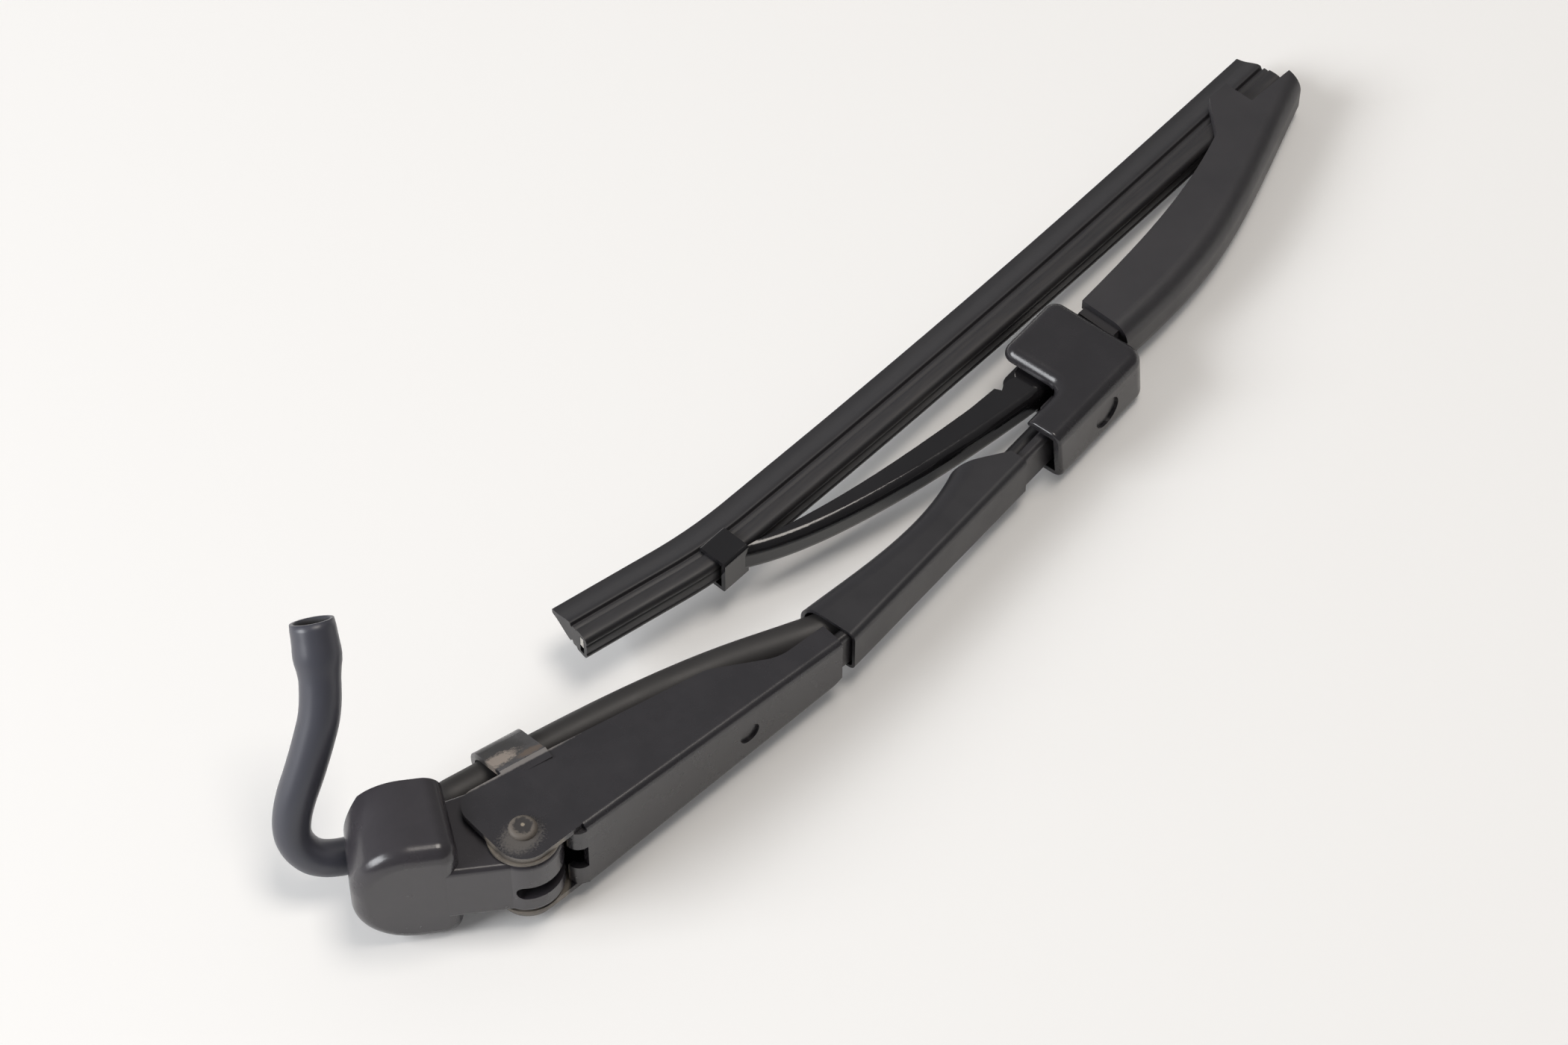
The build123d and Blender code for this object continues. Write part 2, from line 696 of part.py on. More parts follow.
def cap_body():
    """The cap's leg and block with leaning ends, before its edges are rounded."""
    outline = polygon(
        (leg_start, cap_back),
        (block_end, cap_back),
        (block_end, cap_glass),
        (block_start, cap_glass),
        (block_start, leg_rise),
        (leg_start, leg_rise),
    )
    mouth = polygon(
        (leg_start, cap_half),
        (leg_start + mouth_lean, -cap_half),
        (leg_start - cut_past, -cap_half),
        (leg_start - cut_past, cap_half),
    )
    end = polygon(
        (block_end - end_lean, cap_half),
        (block_end, -cap_half),
        (block_end + cut_past, -cap_half),
        (block_end + cut_past, cap_half),
    )
    solid = prism(outline, -cap_half, cap_half)
    return solid - extrude(Plane.XZ * (mouth + end), amount=2 * cap_glass, both=True)


def round_upright(solid, x, y, radius):
    """Round the upright edge that passes a place of the plan."""
    edges = solid.edges().filter_by(lambda e: abs(e.center().Z) < 0.01)
    return fillet(edges.filter_by(lambda e: abs(e.center().X - x) + abs(e.center().Y - y) < 0.02), radius)


def rounded_cap():
    """The cap's outer shape with all its edges rounded."""
    middle = block_end - end_lean / 2
    solid = round_upright(cap_body(), middle, cap_back, cap_corner)
    solid = round_upright(solid, middle, cap_glass, cap_small_corner)
    solid = round_upright(solid, block_start, cap_glass, cap_small_corner)
    solid = round_upright(solid, block_start, leg_rise, cap_round)
    rims = solid.edges().filter_by(lambda e: abs(abs(e.center().Z) - cap_half) < 0.01)
    solid = fillet(rims.filter_by(lambda e: e.center().X > leg_start + mouth_lean + 0.01), cap_round)
    return fillet(solid.faces().sort_by(Axis.X)[0].edges(), mouth_round)


def adapter_cap():
    """Moulded cap: a hollow leg over the strip and a forked block for the blade."""
    solid = rounded_cap()
    inner = cap_half - cap_wall
    room = block(leg_start - cut_past, block_start, cap_back + cap_wall, leg_rise + cut_past, -inner, inner)
    near = block_start - cut_past
    fork = block(near, block_end + cut_past, slot_floor, cap_glass + cut_past, -fork_half, fork_half)
    thick = strip_thickness / 2 + socket_gap
    wide = strip_half + socket_gap
    socket = block(near, strip_end, -thick, thick, -wide, wide)
    dimple = Pos(block_start + dimple_at, cap_back + dimple_depth / 2, 0) * Rot(90, 0, 0)
    solid = solid - room - fork - socket - dimple * Cylinder(dimple_radius, dimple_depth)
    reach = fork_half + pin_bite
    return reach_frame * (solid - rod(blade_pin_radius, -reach, reach, blade_pin_x, blade_pin_y))


def blade_pivot_pin():
    """Pin across the cap's fork that the blade rocks on."""
    reach = fork_half + pin_bite
    return reach_frame * rod(blade_pin_radius, -reach, reach, blade_pin_x, blade_pin_y)


def pivot_bush():
    """Bush in the bow's two sides that turns on the pin."""
    inner = blade_pin_radius + running_clearance
    ring = Circle(inner + bush_wall) - Circle(inner)
    return blade_frame * prism(ring, -bush_half, bush_half)


def rubber_back_at(x):
    """Height of the rubber's back, a wide arc, at a place along the blade."""
    return rubber_back + (x - rubber_middle) ** 2 / (2 * rubber_bow_radius)


# Back of the bow, from the claw to the end inside the cover, in the blade's frame
bow_ridge = [
    (-bow_length, rubber_back_at(-bow_length) - claw_gap - bow_sheet),
    (7.0 - bow_length, 7.0),
    (19.7 - bow_length, 2.8),
    (-24.3, -1.7),
    (0.0, -bow_back),
    (18.0, -4.7),
    (bow_inner_length, -2.8),
]
# Glass edge of its sides, from the cover back to the cap and on to the claw
bow_far_edge = [(bow_inner_length, 4.6), (10.0, 2.9), (-6.5, 2.8)]
broken_edge = [(-7.8, 2.5), (-8.5, 1.7), (-9.8, 2.2), (-11.1, 2.2), (-12.3, 1.5), (-12.9, 2.7), (-19.0, 2.9)]
bow_near_edge = [(-19.0, 2.9), (-36.0, 4.8), (15.0 - bow_length, 7.6), (6.7 - bow_length, 9.7)]


def bow_outline(shift):
    """Side view of the bow, its back shifted towards the glass."""
    ridge = Spline(*[(x, y + shift) for x, y in bow_ridge])
    tip = bow_ridge[0]
    far = Polyline((bow_inner_length, bow_ridge[-1][1] + shift), *bow_far_edge, *broken_edge)
    near = Spline(*bow_near_edge)
    end = Polyline(bow_near_edge[-1], (-bow_length, tip[1] + bow_sheet), (tip[0], tip[1] + shift))
    return make_face([ridge, *far.edges(), near, *end.edges()])


def bow_claw():
    """Claw at the bow's end, folded round the rubber's head."""
    near = -bow_length + bow_sheet
    far = -bow_length - claw_length
    back = rubber_back_at(near) - claw_gap
    drop = rubber_back_at(far) + rubber_shoulder + claw_gap
    lips = rubber_back_at(near) + rubber_neck - claw_gap
    inner = rubber_half + claw_gap
    outer = inner + bow_sheet
    shell = block(far, near, back - bow_sheet, lips, -outer, outer)
    shell = fillet(shell.edges().filter_by(Axis.X), claw_round)
    hollow = block(far - cut_past, near + cut_past, back, drop, -inner, inner)
    neck = rubber_neck_half + claw_gap
    return shell - hollow - block(far - cut_past, near + cut_past, back, lips + cut_past, -neck, neck)


def blade_bow():
    """Folded steel bow: a back and two sides, with a claw and a broken stretch of edge."""
    outer = prism(bow_outline(0), -bow_half, bow_half)
    ridges = outer.edges().filter_by(lambda e: abs(abs(e.center().Z) - bow_half) < 0.01)
    outer = fillet(ridges.sort_by(SortBy.LENGTH)[-2:], bow_round)
    hollow_line = Spline(*[(x, y + bow_sheet) for x, y in bow_ridge])
    first = bow_ridge[0]
    last = bow_ridge[-1]
    deep = rubber_back + rubber_height
    closing = Polyline(
        (last[0], last[1] + bow_sheet),
        (last[0], deep),
        (first[0], deep),
        (first[0], first[1] + bow_sheet),
    )
    side = bow_half - bow_sheet
    hollow = prism(make_face([hollow_line, *closing.edges()]), -side, side)
    bush = rod(blade_pin_radius + running_clearance + bush_wall, -bow_half, bow_half)
    return blade_frame * (outer - hollow + bow_claw() - bush)


# Back of the cover, from the collar to its tip, and its glass edge back from the finger
cover_ridge = [(cover_start, -cover_back), (20.0, -7.0), (37.3, -5.2), (53.5, -0.8), (cover_tip, 7.6)]
cover_glass = [(56.3, 10.6), (48.3, 8.1), (36.1, 5.6), (cover_start, 3.2)]
# Roof of the space in the cover, beyond the bow's end
room_end = [(45.0, -0.2), (54.0, 3.2)]


def cover_outline():
    """Side view of the cover with the finger that holds the rubber."""
    finger_end = finger_start + finger_length
    under = rubber_back_at(finger_end) - 3 * claw_gap
    ridge = Spline(*cover_ridge)
    finger = Polyline(
        cover_ridge[-1],
        (cover_tip, under - 2 * claw_gap),
        (finger_end, under),
        (finger_end, finger_drop),
        (finger_end - finger_length / 2, finger_drop),
        cover_glass[0],
    )
    glass = Spline(*cover_glass)
    start = Line(cover_glass[-1], cover_ridge[0])
    return make_face([ridge, *finger.edges(), glass, start])


def bow_cover():
    """Moulded cover over the far half of the bow, with a collar and a finger for the rubber."""
    solid = prism(cover_outline(), -cover_half, cover_half)
    ridges = solid.edges().filter_by(lambda e: abs(abs(e.center().Z) - cover_half) < 0.01)
    solid = fillet(ridges.sort_by(SortBy.LENGTH)[-2:], cover_round)
    near = cover_start - collar_length
    collar_low = bow_ridge[5][1] - cover_gap - collar_wall
    collar_high = cover_glass[-1][1] - collar_step
    solid = solid + block(near, cover_start + cut_past, collar_low, collar_high, -collar_half, collar_half)
    room_line = [(x, y - cover_gap) for x, y in bow_ridge[4:]] + room_end
    deep = finger_drop + cut_past
    closing = Polyline(room_line[-1], (room_line[-1][0], deep), (room_line[0][0], deep), room_line[0])
    side = bow_half + cover_gap
    room = prism(make_face([Spline(*room_line), *closing.edges()]), -side, side)
    back = rubber_back_at(finger_start) - claw_gap
    inner = rubber_half + claw_gap
    drop = rubber_shoulder + 3 * claw_gap
    neck = rubber_neck_half + claw_gap
    wedge = back + rubber_neck
    wide = rubber_half - wedge_step + claw_gap
    start = finger_start - finger_length
    end = cover_tip + cut_past
    way = block(start, end, back, back + drop, -inner, inner)
    way = way + block(start, end, back, deep, -neck, neck)
    way = way + block(start, end, wedge, deep, -wide, wide)
    return blade_frame * (solid - room - way)


def rubber_path():
    """Line of the rubber's back, from its far end to the tip of the bent tail."""
    left = -(bow_length + claw_length + rubber_bend_gap)
    right = rubber_middle + rubber_far_end
    main = ThreePointArc(
        (right, rubber_back_at(right)), (rubber_middle, rubber_back), (left, rubber_back_at(left))
    )
    bend = JernArc(main @ 1, main % 1, rubber_bend_radius, -rubber_bend_angle)
    tail = Line(bend @ 1, bend @ 1 + rubber_tail * (bend % 1))
    return Wire([main, bend, tail])


def along_rubber(section):
    """Sweep a section, drawn as height and depth from the back, along the rubber's line."""
    path = rubber_path()
    start = Plane(origin=path @ 0, x_dir=(0, 0, 1), z_dir=path % 0)
    return blade_frame * sweep(start * section, path=path)


def wiper_rubber():
    """Rubber blade: a head with grooves, a thin neck and a wedge with the wiping lip."""
    half = [
        (rubber_half - rubber_bevel, 0),
        (rubber_half, rubber_bevel_drop),
        (rubber_half, rubber_head),
        (rubber_half - groove_depth, rubber_head),
        (rubber_half - groove_depth, rubber_head + groove_width),
        (rubber_half - shoulder_step, rubber_head + groove_width),
        (rubber_half - shoulder_step, rubber_shoulder),
        (rubber_neck_half, rubber_shoulder),
        (rubber_neck_half, rubber_neck),
        (rubber_half - wedge_step, rubber_neck),
        (lip_tip_half, rubber_height),
    ]
    outline = polygon(*half, *[(-z, y) for z, y in reversed(half)])
    depth = flexor_thickness + 2 * flexor_gap
    slot = Pos(0, flexor_cover + depth / 2) * Rectangle(2 * flexor_slot_half, depth)
    return along_rubber(outline - slot)


def flexor_strip():
    """Steel strip in the slot of the rubber's head."""
    place = Pos(flexor_height, flexor_cover + flexor_gap + flexor_thickness / 2)
    return along_rubber(place * Rectangle(flexor_width, flexor_thickness))


def hose_free_end():
    """Free stub of the hose with its stretched end."""
    stub = tube(free_path, hose_radius, hose_bore)
    end = Plane(origin=free_path @ 1, z_dir=-(free_path % 1))
    ring = Circle(hose_end_radius) - Circle(hose_bore)
    return stub + extrude(end * ring, amount=hose_end_length)


def hose_head_run():
    """Hose behind the bell, past the spindle."""
    return tube(head_path, hose_radius, hose_bore)


def hose_arm_run():
    """Hose along the channel, under the tab and into the sleeve."""
    return arm_frame * tube(arm_path, hose_radius, hose_bore)


pieces = {
    "pivot_head": pivot_head,
    "spring_pin": spring_pin,
    "hose_free_end": hose_free_end,
    "hose_head_run": hose_head_run,
    "hinge_rivet": hinge_rivet,
    "hinge_washers": hinge_washers,
    "arm_channel": arm_channel,
    "tension_spring": tension_spring,
    "support_strip": support_strip,
    "strip_sleeve": strip_sleeve,
    "hose_arm_run": hose_arm_run,
    "feed_tube": feed_tube,
    "jet_nozzle": jet_nozzle,
    "adapter_cap": adapter_cap,
    "blade_pivot_pin": blade_pivot_pin,
    "pivot_bush": pivot_bush,
    "blade_bow": blade_bow,
    "bow_cover": bow_cover,
    "wiper_rubber": wiper_rubber,
    "flexor_strip": flexor_strip,
}

for name, make in pieces.items():
    export_step(make(), f"parts/{name}.step")
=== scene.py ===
# %% [markdown]
# # A short windscreen wiper arm
# The real object is a small wiper arm off a car. A cast head sits on the wiper
# spindle, a hinge with a spring joins it to a folded steel channel, and a strip
# in a rubber sleeve carries the cap that the blade rocks on. The solids come
# from the CAD frame at their true size. This lesson gives every one of them its
# finish, remakes the hose, the rubber and the spring as what they are, and
# lights the scene.

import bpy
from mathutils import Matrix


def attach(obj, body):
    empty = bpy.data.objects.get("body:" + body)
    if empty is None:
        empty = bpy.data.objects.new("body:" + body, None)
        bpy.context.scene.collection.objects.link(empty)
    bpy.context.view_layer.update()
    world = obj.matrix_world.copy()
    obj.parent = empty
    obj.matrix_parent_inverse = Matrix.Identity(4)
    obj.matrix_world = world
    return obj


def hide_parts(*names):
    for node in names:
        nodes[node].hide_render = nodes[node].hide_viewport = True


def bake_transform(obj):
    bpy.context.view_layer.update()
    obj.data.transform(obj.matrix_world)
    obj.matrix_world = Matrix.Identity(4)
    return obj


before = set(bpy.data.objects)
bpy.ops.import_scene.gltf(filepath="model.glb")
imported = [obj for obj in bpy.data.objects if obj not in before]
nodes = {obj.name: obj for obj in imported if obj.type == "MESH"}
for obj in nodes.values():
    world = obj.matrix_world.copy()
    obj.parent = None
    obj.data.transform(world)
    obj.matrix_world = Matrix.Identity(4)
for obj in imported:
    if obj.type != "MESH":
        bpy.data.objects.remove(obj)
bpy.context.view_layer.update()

# %% [markdown]
# ## The camera
# The photo was taken from above and in front, about 53 degrees above the table,
# from a long way off, so the arm hardly narrows with distance. A long lens at
# three quarters of a metre gives the same flat look. The camera could be turned
# by three angles, but pointing it at a spot on the arm is easier to read.

# %% Camera at the photo's viewing angle
import math

import bmesh
import bpy
from mathutils import Matrix, Vector

MM = 0.001
SENSOR_WIDTH = 36.0
LENS = 102.857
CAMERA_SPOT = Vector((4.9, -392.7, 599.0)) * MM
LOOK_AT = Vector((69.25, 54.1, 0.0)) * MM


def aim(thing):
    """Turns a camera or a lamp, which both look along -Z, to the middle of the arm."""
    thing.rotation_euler = (LOOK_AT - thing.location).to_track_quat("-Z", "Y").to_euler()


scene = bpy.context.scene
camera_data = bpy.data.cameras.new("camera")
camera_data.sensor_width = SENSOR_WIDTH
camera_data.lens = LENS
camera = bpy.data.objects.new("camera", camera_data)
camera.location = CAMERA_SPOT
aim(camera)
scene.collection.objects.link(camera)
scene.camera = camera
print("camera distance (m):", round((LOOK_AT - camera.location).length, 3))

# %% [markdown]
# ## Colours and shader nodes
# Colours are written as sRGB hex, as a paint card gives them, and Blender's
# sockets take linear light, so one function turns one into the other. A second
# small function adds a shader node, sets its values and links its inputs, which
# keeps each material below as short as its recipe.

# %% Two helpers for materials
def paint(hex_colour):
    """An sRGB hex colour as the linear RGBA of a Blender socket."""
    channels = [int(hex_colour[i:i + 2], 16) / 255 for i in (1, 3, 5)]
    linear = [c / 12.92 if c <= 0.04045 else ((c + 0.055) / 1.055) ** 2.4 for c in channels]
    return linear + [1.0]


def put(tree, kind, inputs=None, **settings):
    """Adds one shader node. Inputs are values, or output sockets to link from."""
    node = tree.nodes.new("ShaderNode" + kind)
    for name, value in settings.items():
        setattr(node, name, value)
    for name, value in (inputs or {}).items():
        if isinstance(value, bpy.types.NodeSocket):
            tree.links.new(value, node.inputs[name])
        else:
            node.inputs[name].default_value = value
    return node


print("mid grey in linear light:", [round(c, 3) for c in paint("#808080")[:3]])

# %% [markdown]
# ## Floor
# The arm lies on its side on pale paper. It rests on the bell of the head and on
# the tip of the cover, and those are not equally thick, so the paper is a flat
# sheet that leans by two and a half degrees against the arm's own axes. Turning
# the arm instead would break the shared frame. A faint glow, for rays that see
# the paper only, whitens it without lighting the arm.

# %% Materials and meshes get their names
def new_material(name):
    """An empty node material and its tree."""
    material = bpy.data.materials.new(name)
    material.use_nodes = True
    material.node_tree.nodes.clear()
    return material, material.node_tree


def finished(name, bm, material):
    """Turns a bmesh into an object at the origin with one material."""
    mesh = bpy.data.meshes.new(name)
    bm.to_mesh(mesh)
    bm.free()
    mesh.materials.append(material)
    piece = bpy.data.objects.new(name, mesh)
    scene.collection.objects.link(piece)
    return piece


# %% Pale paper under the arm
PAPER_GLOW = 0.08

# Matte paper: a pale diffuse sheet.
paper, tree = new_material("pale_matte_paper")
sheet = put(tree, "BsdfDiffuse", {"Color": paint("#f6f5f3"), "Roughness": 0.0})
ray = put(tree, "LightPath").outputs
seen = put(tree, "Math", {0: ray["Is Camera Ray"], 1: ray["Is Glossy Ray"]},
           operation="MAXIMUM").outputs[0]
seen = put(tree, "Math", {0: seen, 1: ray["Is Transmission Ray"]}, operation="MAXIMUM").outputs[0]
glow = put(tree, "Math", {0: seen, 1: PAPER_GLOW}, operation="MULTIPLY").outputs[0]
glow = put(tree, "Emission", {"Color": paint("#fbfbfc"), "Strength": glow})
both = put(tree, "AddShader", {0: sheet.outputs["BSDF"], 1: glow.outputs["Emission"]})
put(tree, "OutputMaterial", {"Surface": both.outputs["Shader"]})

FLOOR_RISE = 0.044
FLOOR_LOW = -12.35 * MM
FLOOR_HALF = 6.0
floor_lean = math.atan(FLOOR_RISE)
bm = bmesh.new()
bmesh.ops.create_grid(bm, x_segments=2, y_segments=2, size=FLOOR_HALF)
lean = Matrix.Translation((0, 0, FLOOR_LOW)) @ Matrix.Rotation(-floor_lean, 4, "Y")
bmesh.ops.transform(bm, matrix=lean, verts=bm.verts)
floor = finished("paper_floor", bm, paper)
print("floor leans by", round(math.degrees(floor_lean), 2), "degrees")

# %% [markdown]
# ## Light
# A black object is drawn by what it mirrors. In the photo the tops mirror a dim
# wall behind, the fronts mirror the bright paper, and only the rounded edges
# catch a lamp as thin bright lines. The soft brown shadows all fall to the right.
# So a wide softbox stands on the left, throws the shadows and lights the edges
# that face it. A second one hangs overhead, a little to the right, and draws the
# edges on top. The sky is darker on the camera's side. The lamps stay well away,
# because a near one leaves a bright pool on the paper.

# %% Two softboxes
LAMP_DISTANCE = 1.6


def softbox(name, direction, size, watts, colour):
    """A rectangular area lamp that stands off in a direction and faces the arm."""
    lamp_data = bpy.data.lights.new(name, "AREA")
    lamp_data.shape = "RECTANGLE"
    lamp_data.size, lamp_data.size_y = size
    lamp_data.energy = watts
    lamp_data.color = paint(colour)[:3]
    lamp = bpy.data.objects.new(name, lamp_data)
    lamp.location = LOOK_AT + Vector(direction).normalized() * LAMP_DISTANCE
    aim(lamp)
    scene.collection.objects.link(lamp)
    print("softbox", name, "at", [round(x, 2) for x in lamp.location])


softbox("left_softbox", direction=(-0.86, -0.15, 0.46), size=(0.95, 0.75), watts=21.5,
        colour="#fafcff")
softbox("overhead_softbox", direction=(0.17, 0.00, 0.985), size=(0.68, 0.60), watts=9.6,
        colour="#fff8f0")

# %% A weak sky, dimmer on the camera's side
SKY_NEAR = 0.14
SKY_FAR = 0.27
SKY_BLEND = 0.6

sky = bpy.data.worlds.new("studio_sky")
sky.use_nodes = True
tree = sky.node_tree
tree.nodes.clear()
ray = put(tree, "TexCoord").outputs["Generated"]
depth = put(tree, "SeparateXYZ", {"Vector": ray}).outputs["Y"]
wall = put(tree, "MapRange", {"Value": depth, "From Min": -SKY_BLEND, "From Max": SKY_BLEND,
                              "To Min": SKY_NEAR, "To Max": SKY_FAR})
glow = put(tree, "Background", {"Color": paint("#f8f8f9"), "Strength": wall.outputs["Result"]})
put(tree, "OutputWorld", {"Surface": glow.outputs["Background"]})
scene.world = sky
scene.view_settings.view_transform = "Standard"
print("sky strength from", SKY_NEAR, "to", SKY_FAR)

# %% [markdown]
# ## Black finishes
# Nearly every piece is black, and what tells them apart is the grain, the gloss
# and the dust. A black paint or moulding is built from the same three things:
# broad soft patches that vary colour and gloss by a little, a fine grain that
# bumps the surface, and a few pale specks of dust. Their sizes are given in
# millimetres and turned into texture scales.

# %% A recipe for grained black surfaces
SPECK_SPACING_MM = 8.0


def grained_black(name, dark, light, gloss, grain_mm, grain_depth_mm, patch_mm=7.0,
                  specks=0.012, speck_colour="#6f6a66", ior=1.58):
    """A black finish. Its nodes named place and shader are where wear is added later."""
    material, tree = new_material(name)
    place = put(tree, "TexCoord", name="place").outputs["Object"]
    patches = put(tree, "TexNoise", {"Vector": place, "Scale": 1 / (patch_mm * MM), "Detail": 4.0,
                                     "Roughness": 0.62}).outputs["Fac"]
    colour = put(tree, "Mix", {0: patches, 6: paint(dark), 7: paint(light)},
                 data_type="RGBA").outputs[2]
    dots = put(tree, "TexVoronoi", {"Vector": place, "Scale": 1 / (SPECK_SPACING_MM * MM)})
    pick = put(tree, "SeparateColor", {"Color": dots.outputs["Color"]}).outputs["Red"]
    size = put(tree, "Math", {0: pick, 1: specks}, operation="MULTIPLY").outputs[0]
    speck = put(tree, "Math", {0: dots.outputs["Distance"], 1: size},
                operation="LESS_THAN").outputs[0]
    colour = put(tree, "Mix", {0: speck, 6: colour, 7: paint(speck_colour)},
                 data_type="RGBA").outputs[2]
    rough = put(tree, "MapRange", {"Value": patches, "From Min": 0.3, "From Max": 0.7,
                                   "To Min": gloss - 0.04, "To Max": gloss + 0.05})
    grain = put(tree, "TexNoise", {"Vector": place, "Scale": 1 / (grain_mm * MM), "Detail": 2.0,
                                   "Roughness": 0.55}).outputs["Fac"]
    bump = put(tree, "Bump", {"Height": grain, "Distance": grain_depth_mm * MM, "Strength": 1.0})
    shader = put(tree, "BsdfPrincipled", {"Base Color": colour, "IOR": ior,
                                          "Roughness": rough.outputs["Result"],
                                          "Normal": bump.outputs["Normal"]}, name="shader")
    put(tree, "OutputMaterial", {"Surface": shader.outputs["BSDF"]})
    print("finish:", name)
    return material


# %% [markdown]
# ## Wear, dust and painted light
# Dust, rust and rubbed paint lie over a finish where something touched it, so
# each is a mask at a real spot of the arm. A few masks paint light instead:
# painted shade under the hose tab and inside the hose's mouth, and a painted
# sheen on the free hose stub. The mask is a ball or an ellipsoid with an edge
# torn by noise, and it mixes a second colour and gloss into the finish. Painting
# the masks by hand would need an image, which can't be resized.

# %% Patches of wear and painted light
def wear_and_light_mask(tree, place, centre, radii_mm, turn=0.0, ragged_mm=0.5, ragged=0.8, hollow=None,
               soft=0.3):
    """A mask that is 1 in an ellipsoid, or with hollow in its shell only, with ragged edges."""
    local = put(tree, "Mapping", {"Vector": place, "Location": centre, "Rotation": (0, 0, turn),
                                  "Scale": Vector(radii_mm) * MM}, vector_type="TEXTURE")
    reach = put(tree, "VectorMath", {0: local.outputs["Vector"]},
                operation="LENGTH").outputs["Value"]
    if hollow:
        reach = put(tree, "Math", {0: reach, 1: 1.0}, operation="SUBTRACT").outputs[0]
        reach = put(tree, "Math", {0: reach}, operation="ABSOLUTE").outputs[0]
        reach = put(tree, "Math", {0: reach, 1: hollow}, operation="DIVIDE").outputs[0]
    tear = put(tree, "TexNoise", {"Vector": place, "Scale": 1 / (ragged_mm * MM), "Detail": 4.0,
                                  "Roughness": 0.7}).outputs["Fac"]
    reach = put(tree, "Math", {0: tear, 1: 2 * ragged, 2: reach},
                operation="MULTIPLY_ADD").outputs[0]
    edge = 1.0 + ragged
    return put(tree, "MapRange", {"Value": reach, "From Min": edge + soft, "From Max": edge - soft},
               interpolation_type="SMOOTHSTEP").outputs["Result"]


def lay_over(tree, shader, mask, colour, roughness, share):
    """Lays dust, wear, painted shade and painted sheen over a finish, where mask is 1, hiding that
    share of the finish.
    """
    mask = put(tree, "Math", {0: mask, 1: share}, operation="MULTIPLY").outputs[0]
    for socket, data, (below, above, mixed), value in (
            ("Base Color", "RGBA", (6, 7, 2), paint(colour)),
            ("Roughness", "FLOAT", (2, 3, 0), roughness)):
        under = shader.inputs[socket].links[0].from_socket
        mix = put(tree, "Mix", {0: mask, below: under, above: value}, data_type=data)
        tree.links.new(mix.outputs[mixed], shader.inputs[socket])


def finish_nodes(material):
    """The tree of a black finish, its shader and its Object coordinates."""
    tree = material.node_tree
    return tree, tree.nodes["shader"], tree.nodes["place"].outputs["Object"]


def wear_and_painted_light(material, colour, roughness, share, **patch):
    """Lays one patch over a black finish: wear and dust, and at a few spots painted shade and painted
    sheen.
    """
    tree, shader, place = finish_nodes(material)
    lay_over(tree, shader, wear_and_light_mask(tree, place, **patch), colour, roughness, share)


# %% [markdown]
# ## Die cast head
# The head is zinc, cast in a steel mould and painted satin black. Its skin has a
# fine leather grain from the paint, and the paint is shiny enough to show the
# softboxes as blurred bright bands along the rounded front edge of the bell.

# %% Satin paint on die cast zinc
# Satin paint on cast zinc: dark grey in soft light, with clear blurred highlights.
cast_paint = grained_black("satin_paint_on_cast_zinc", dark="#363438", light="#3f3c40", gloss=0.24,
                           grain_mm=0.55, grain_depth_mm=0.010)

# %% [markdown]
# ## Folded channel
# The channel is steel sheet, folded and then dipped in a matte charcoal paint.
# Dust sits on it, the paint is worn pale where the cheeks rub at the hinge, and shade is painted dark
# where the hose tab curls over the hose.
# The wear could be drawn in one picture. Patches placed in the arm's own
# millimetres stay where they are when the arm swings.

# %% Matte paint on the channel
HINGE = Vector((19.2, -5.9, 0.0)) * MM
ARM_TURN = math.radians(34.5)
arm_frame = Matrix.Translation(HINGE) @ Matrix.Rotation(ARM_TURN, 4, "Z")


def on_arm(x, y, z):
    """A spot in the arm's own millimetres, measured from the hinge, as a spot of the part."""
    return arm_frame @ (Vector((x, y, z)) * MM)


# Matte paint on sheet steel: even charcoal, a soft sheen, thin dust.
channel_paint = grained_black("matte_paint_on_sheet_steel", dark="#2b2a2d", light="#323034",
                              gloss=0.27, grain_mm=0.30, grain_depth_mm=0.006, specks=0.026,
                              speck_colour="#a39d96", ior=1.62)

# %% Wear at the hinge
ENDLESS = 900.0
CHEEK_FACE = 8.37 * MM
CHEEK_EDGE = 8.30 * MM

# Grey dust packed round the rivet and on the cheek in front of it.
wear_and_painted_light(channel_paint, "#716c66", roughness=0.75, share=0.45, centre=on_arm(-1.2, -1.0, 8.4),
     radii_mm=(3.4, 2.6, 0.8), turn=ARM_TURN, ragged_mm=0.35, ragged=1.0)
# The sheared edge of the cheek's round end, rubbed to pale primer below the cheek's face.
tree, shader, place = finish_nodes(channel_paint)
rub = wear_and_light_mask(tree, place, centre=on_arm(0.0, -0.6, 7.7), radii_mm=(6.0, 5.6, ENDLESS),
                 turn=ARM_TURN, ragged_mm=0.45, ragged=0.16, hollow=0.10, soft=0.5)
height = put(tree, "SeparateXYZ", {"Vector": place}).outputs["Z"]
side = put(tree, "MapRange", {"Value": height, "From Min": CHEEK_FACE, "From Max": CHEEK_EDGE})
rub = put(tree, "Math", {0: rub, 1: side.outputs["Result"]}, operation="MULTIPLY").outputs[0]
lay_over(tree, shader, rub, "#8f877c", roughness=0.6, share=0.85)
print("cheek rubbed below (mm):", CHEEK_FACE / MM)

# %% Wear along the glass edge, and wear and painted shade on the hose tab
EDGE_TURN = math.radians(25.3)

# A bright burr along the glass edge of the cheek.
wear_and_painted_light(channel_paint, "#86827f", roughness=0.5, share=0.8, centre=on_arm(16.0, 8.45, 8.4),
     radii_mm=(26.0, 0.52, 0.5), turn=EDGE_TURN, ragged_mm=0.8, ragged=0.3)
